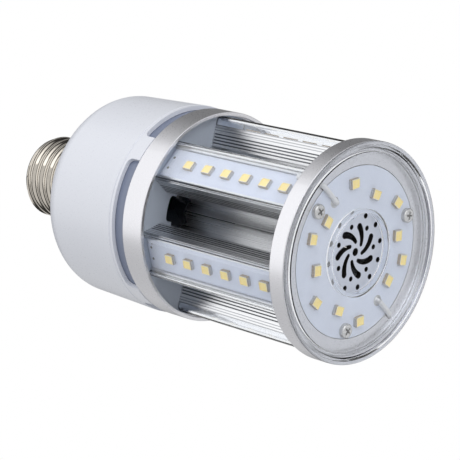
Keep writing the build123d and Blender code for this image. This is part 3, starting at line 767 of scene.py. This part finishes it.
def screw(length, radius=head_radius):
    """Pan head screw whose head has the given radius and whose shank reaches down by length."""
    shape = bmesh.new()
    bmesh.ops.create_circle(shape, cap_ends=True, segments=32, radius=radius)
    raised = bmesh.ops.extrude_face_region(shape, geom=list(shape.faces))
    top = [item for item in raised["geom"] if isinstance(item, bmesh.types.BMFace)]
    top_corners = [item for item in raised["geom"] if isinstance(item, bmesh.types.BMVert)]
    bmesh.ops.translate(shape, vec=(0, 0, head_height), verts=top_corners)
    rim = list(top[0].edges)
    bmesh.ops.bevel(
        shape, geom=rim, offset=head_round, affect="EDGES", segments=4, profile=0.5, material=-1
    )
    for normal in ((1, 0, 0), (0, 1, 0)):
        for reach in (cross_width / 2, -cross_width / 2, cross_reach, -cross_reach):
            flat = [face for face in shape.faces if face.calc_center_median().z > head_height - 0.001]
            rim = list(dict.fromkeys(edge for face in flat for edge in face.edges))
            corners = list(dict.fromkeys(corner for edge in rim for corner in edge.verts))
            bmesh.ops.bisect_plane(
                shape,
                geom=flat + rim + corners,
                dist=1e-5,
                plane_co=Vector(normal) * reach,
                plane_no=normal,
            )
    recess = []
    for face in shape.faces:
        middle = face.calc_center_median()
        arms = sorted((abs(middle.x), abs(middle.y)))
        if middle.z > head_height - 0.001 and arms[0] < cross_width / 2 and arms[1] < cross_reach:
            recess.append(face)
    sunk = bmesh.ops.extrude_face_region(shape, geom=recess)
    floor_corners = [item for item in sunk["geom"] if isinstance(item, bmesh.types.BMVert)]
    # The recess's walls and floor take the dark steel: painted shade.
    for face in {face for corner in floor_corners for face in corner.link_faces}:
        face.material_index = 1
    bmesh.ops.scale(shape, vec=(cross_taper, cross_taper, 1), verts=floor_corners)
    bmesh.ops.translate(shape, vec=(0, 0, -cross_depth), verts=floor_corners)
    bmesh.ops.delete(shape, geom=[face for face in recess if face.is_valid], context="FACES_ONLY")
    turns = int(length / screw_pitch)
    start = -turns * screw_pitch
    ridge = chain(
        shape,
        (
            (core_radius, start),
            (core_radius, start + 0.2 * screw_pitch),
            (shank_radius, start + 0.6 * screw_pitch),
            (core_radius, start + screw_pitch),
        ),
    )
    climbing_spin(shape, ridge, turns - 1, screw_pitch, 12)
    return shape


# %% [markdown]
# Each screw takes its place and direction from the CAD solid that it replaces. The thread is inside
# the extrusion or the boss that the screw holds on to.

# %% Screws
screw_sets = {
    "board_screws": (-1, head_radius),
    "strip_screws": (1, head_radius),
    "fan_screws": (1, 1.6),
    "driver_screws": (-1, head_radius),
}
for name, (side, radius) in screw_sets.items():
    places = []
    for low, high in solids_of(name):
        middle = (low + high) / 2
        seat = (high.z if side > 0 else low.z) - side * head_height
        length = high.z - low.z - head_height
        turn = Matrix.Identity(4) if side > 0 else Matrix.Rotation(pi, 4, "X")
        lean = Matrix.Rotation(radians(37 * len(places)), 4, "Z")
        places.append(Matrix.Translation((middle.x, middle.y, seat)) @ turn @ lean)
    shape = copies(screw(length, radius), places)
    finish_piece(f"{name}_with_recess", shape, [steel, recess], [name], smooth=30.0)

# %% [markdown]
# The screw base is rolled from thin sheet, so its thread is one soft wave that climbs round it. A
# profile of one wave is spun for several turns, then cut level at both ends. The cut ends are drawn
# to plain rings: the skirt that the housing holds, and the rolled edge that holds the insulator.

# %% Screw shell
shell_low, shell_high = box_mm("screw_shell")
thread_pitch = 3.629
crest_radius = shell_high.x
root_radius = crest_radius - 0.95
wave_points = 12
shell_steps = 72
thread_low = shell_low.z + 1.6
thread_high = shell_high.z - 1.3
thread_turns = 6
wave_middle = (crest_radius + root_radius) / 2
wave_depth = (crest_radius - root_radius) / 2

shell = bmesh.new()
wave = chain(
    shell,
    [
        (
            wave_middle + wave_depth * cos(2 * pi * step / wave_points),
            thread_low + thread_pitch * (step / wave_points - 1),
        )
        for step in range(wave_points + 1)
    ],
)
climbing_spin(shell, wave, thread_turns, thread_pitch, shell_steps)
bmesh.ops.remove_doubles(shell, verts=shell.verts, dist=0.002)
cut_level(shell, thread_low, True)
cut_level(shell, thread_high, False)
skirt = ((crest_radius - 0.35, shell_low.z + 0.9), (crest_radius - 0.25, shell_low.z))
rolled_edge = (
    (root_radius + 0.1, thread_high + 0.6),
    (root_radius - 0.15, shell_high.z - 0.3),
    (root_radius - 0.9, shell_high.z),
)
for level, rings in ((thread_low, skirt), (thread_high, rolled_edge)):
    rim = [edge for edge in shell.edges if edge.is_boundary and abs(edge.verts[0].co.z - level) < 0.01]
    rim = [edge for edge in rim if abs(edge.verts[1].co.z - level) < 0.01]
    for radius, height in rings:
        grown = bmesh.ops.extrude_edge_only(shell, edges=rim)["geom"]
        for corner in [item for item in grown if isinstance(item, bmesh.types.BMVert)]:
            corner.co.xy = corner.co.xy.normalized() * radius
            corner.co.z = height
        rim = [item for item in grown if isinstance(item, bmesh.types.BMEdge)]
base_shell = finish_piece("threaded_shell", shell, [nickel], ["screw_shell"], smooth=60.0)
wall = base_shell.modifiers.new("sheet", "SOLIDIFY")
wall.thickness = 0.4 * MM
wall.offset = -1.0

# %% [markdown]
# A blob of solder joins each lead to its board. Solder wets the pad and the wire, so its side is a
# hollow curve that runs out flat. That is a short profile spun round an upright axis.

# %% Solder
blob_profile = ((0.0, 1.35), (0.45, 1.28), (0.8, 1.0), (0.98, 0.6), (1.12, 0.28), (1.35, 0.06), (1.6, 0.0))
blob = bmesh.new()
profile = chain(blob, blob_profile)
bmesh.ops.spin(
    blob, geom=profile, axis=(0, 0, 1), cent=(0, 0, 0), angle=2 * pi, steps=24, use_merge=True
)
bmesh.ops.remove_doubles(blob, verts=blob.verts, dist=0.001)
places = []
for name in ("supply_lead", "return_lead"):
    low, high = box_mm(name)
    end = low.x if low.x > 0 else high.x
    spot = Matrix.Translation((end, (low.y + high.y) / 2, board_front))
    places.append(spot @ Matrix.Rotation(pi, 4, "X"))
finish_piece("lead_solder", copies(blob, places), [tin])

# %% [markdown]
# At the rear end of each strip board are two test points. Each is a dark dot in the mask, so a flat
# disc stands for it, a hair above the board so that the two faces don't share a place.

# %% Test points
point_radius = 0.42
point_side = 1.8  # from the middle of the strip
point_inset = 1.4  # from the rear end of the board
point_lift = 0.02
point = bmesh.new()
bmesh.ops.create_circle(point, cap_ends=True, segments=16, radius=point_radius)
places = []
for number in range(strip_count):
    outwards, face, upright = strip_frame(number)
    level = box_mm(f"strip_board_{number + 1}")[1].z - point_inset
    for side in (1, -1):
        aside = Matrix.Translation((side * point_side, 0, 0))
        spot = outwards * (face + point_lift) + Vector((0, 0, level))
        places.append(Matrix.Translation(spot) @ upright @ aside)
finish_piece("test_points", copies(point, places), [ferrite], smooth=20.0)

# %% [markdown]
# The floor is pale and plain, and keeps the lamp's soft shadow. The photograph looks up at the lamp
# from below, so only the floor's upper side is drawn, and only for rays that come from the camera:
# metal and glass see the white studio instead of it.

# %% Floor
floor_size = 3.0
floor_gap = 0.2 * MM
floor_glow = 0.4
shape = bmesh.new()
bmesh.ops.create_grid(shape, x_segments=1, y_segments=1, size=floor_size / 2)
floor_mesh = bpy.data.meshes.new("floor")
shape.to_mesh(floor_mesh)
shape.free()
floor = bpy.data.objects.new("floor", floor_mesh)
floor.location.z = -floor_gap
scene.collection.objects.link(floor)
floor_paint = bpy.data.materials.new("pale floor")
floor_paint.use_nodes = True
tree = floor_paint.node_tree
tree.nodes.clear()
light = node(tree, "ShaderNodeLightPath")
side = node(tree, "ShaderNodeNewGeometry")
above = node(tree, "ShaderNodeMath", {0: 1.0, 1: side.outputs["Backfacing"]}, operation="SUBTRACT")
shown = node(
    tree, "ShaderNodeMath", {0: light.outputs["Is Camera Ray"], 1: above.outputs[0]}, operation="MULTIPLY"
)
air = node(tree, "ShaderNodeBsdfTransparent")
paint = node(tree, "ShaderNodeBsdfDiffuse", {"Color": colour("F4F4F4")})
glow = node(tree, "ShaderNodeEmission", {"Strength": floor_glow})
lit = node(tree, "ShaderNodeAddShader", {0: paint.outputs[0], 1: glow.outputs[0]})
both = node(tree, "ShaderNodeMixShader", {0: shown.outputs[0], 1: air.outputs[0], 2: lit.outputs[0]})
node(tree, "ShaderNodeOutputMaterial", {"Surface": both.outputs[0]})
floor_mesh.materials.append(floor_paint)

# %% [markdown]
# The studio is white all round, which is what the camera sees. Metal sees it with some dark parts: a
# dark screen on one side and a weaker one below, so that the satin rings run from bright to dark as
# they do in the photograph, and a dark ceiling and table edge, which give the polished screw base its
# dark bands. The light that falls on the lamp from all sides is weaker, so that pale colours stay as
# they are written.

# %% Studio


def direction_to(azimuth, height):
    """Unit vector towards an azimuth and height in degrees."""
    level = cos(radians(height))
    return Vector((level * cos(radians(azimuth)), level * sin(radians(azimuth)), sin(radians(height))))


screens = ((120.0, 43.0, 0.25), (-146.0, 40.0, 0.8))  # azimuth, height, light left at the middle
ambient = 0.5
screen_edge = 0.5  # cosine of the angle from a screen's middle to where it ends
screen_core = 0.93
ceiling_start = 0.76  # sine of the height above the horizon
ceiling_full = 0.88
table_edge = 0.05
table_full = 0.16  # half of the dark band, again as a sine
table_end = 0.24
black_level = 0.06
world = bpy.data.worlds.new("studio")
scene.world = world
world.use_nodes = True
tree = world.node_tree
tree.nodes.clear()
towards = node(tree, "ShaderNodeTexCoord")
brightness = 1.0
for azimuth, height, darkest in screens:
    nearness = node(
        tree,
        "ShaderNodeVectorMath",
        {0: towards.outputs["Generated"], 1: direction_to(azimuth, height)},
        operation="DOT_PRODUCT",
    )
    shade = node(
        tree,
        "ShaderNodeMapRange",
        {
            "Value": nearness.outputs["Value"],
            "From Min": screen_edge,
            "From Max": screen_core,
            "To Min": 1.0,
            "To Max": darkest,
        },
        interpolation_type="SMOOTHSTEP",
    )
    studio = node(tree, "ShaderNodeMath", {0: shade.outputs[0], 1: brightness}, operation="MULTIPLY")
    brightness = studio.outputs[0]
height = node(tree, "ShaderNodeSeparateXYZ", {"Vector": towards.outputs["Generated"]})
ceiling = node(
    tree,
    "ShaderNodeMapRange",
    {
        "Value": height.outputs["Z"],
        "From Min": ceiling_start,
        "From Max": ceiling_full,
        "To Min": 1.0,
        "To Max": black_level,
    },
)
from_edge = node(tree, "ShaderNodeMath", {0: height.outputs["Z"], 1: table_edge}, operation="SUBTRACT")
off_edge = node(tree, "ShaderNodeMath", {0: from_edge.outputs[0]}, operation="ABSOLUTE")
table = node(
    tree,
    "ShaderNodeMapRange",
    {
        "Value": off_edge.outputs[0],
        "From Min": table_full,
        "From Max": table_end,
        "To Min": black_level,
        "To Max": 1.0,
    },
)
dark_parts = node(
    tree, "ShaderNodeMath", {0: ceiling.outputs[0], 1: table.outputs[0]}, operation="MULTIPLY"
)
around = node(
    tree, "ShaderNodeMath", {0: brightness, 1: dark_parts.outputs[0]}, operation="MULTIPLY"
)
light = node(tree, "ShaderNodeLightPath")
glossy = node(
    tree, "ShaderNodeMix", {"Factor": light.outputs["Is Glossy Ray"], "A": ambient, "B": around.outputs[0]}
)
seen = node(
    tree,
    "ShaderNodeMath",
    {0: light.outputs["Is Camera Ray"], 1: light.outputs["Is Transmission Ray"]},
    operation="MAXIMUM",
)
strength = node(tree, "ShaderNodeMix", {"Factor": seen.outputs[0], "A": glossy.outputs[0], "B": 1.0})
sky = node(tree, "ShaderNodeBackground", {"Color": (1, 1, 1, 1), "Strength": strength.outputs[0]})
node(tree, "ShaderNodeOutputWorld", {"Surface": sky.outputs[0]})


def softbox(name, direction, distance, size, power):
    """Square area lamp in the given direction from the lamp's middle, aimed at it."""
    lamp = bpy.data.objects.new(name, bpy.data.lights.new(name, "AREA"))
    lamp.data.size = size
    lamp.data.energy = power
    middle = Vector((0, 0, 0.065))
    lamp.location = middle + direction.normalized() * distance
    lamp.rotation_euler = direction.to_track_quat("Z", "Y").to_euler()
    scene.collection.objects.link(lamp)


softbox("key", direction_to(-16.0, 38.0), 0.9, 1.35, 3.6)
softbox("front_fill", direction_to(20.0, -40.0), 0.9, 0.9, 3.3)

# %% Colours as written
scene.view_settings.view_transform = "Standard"
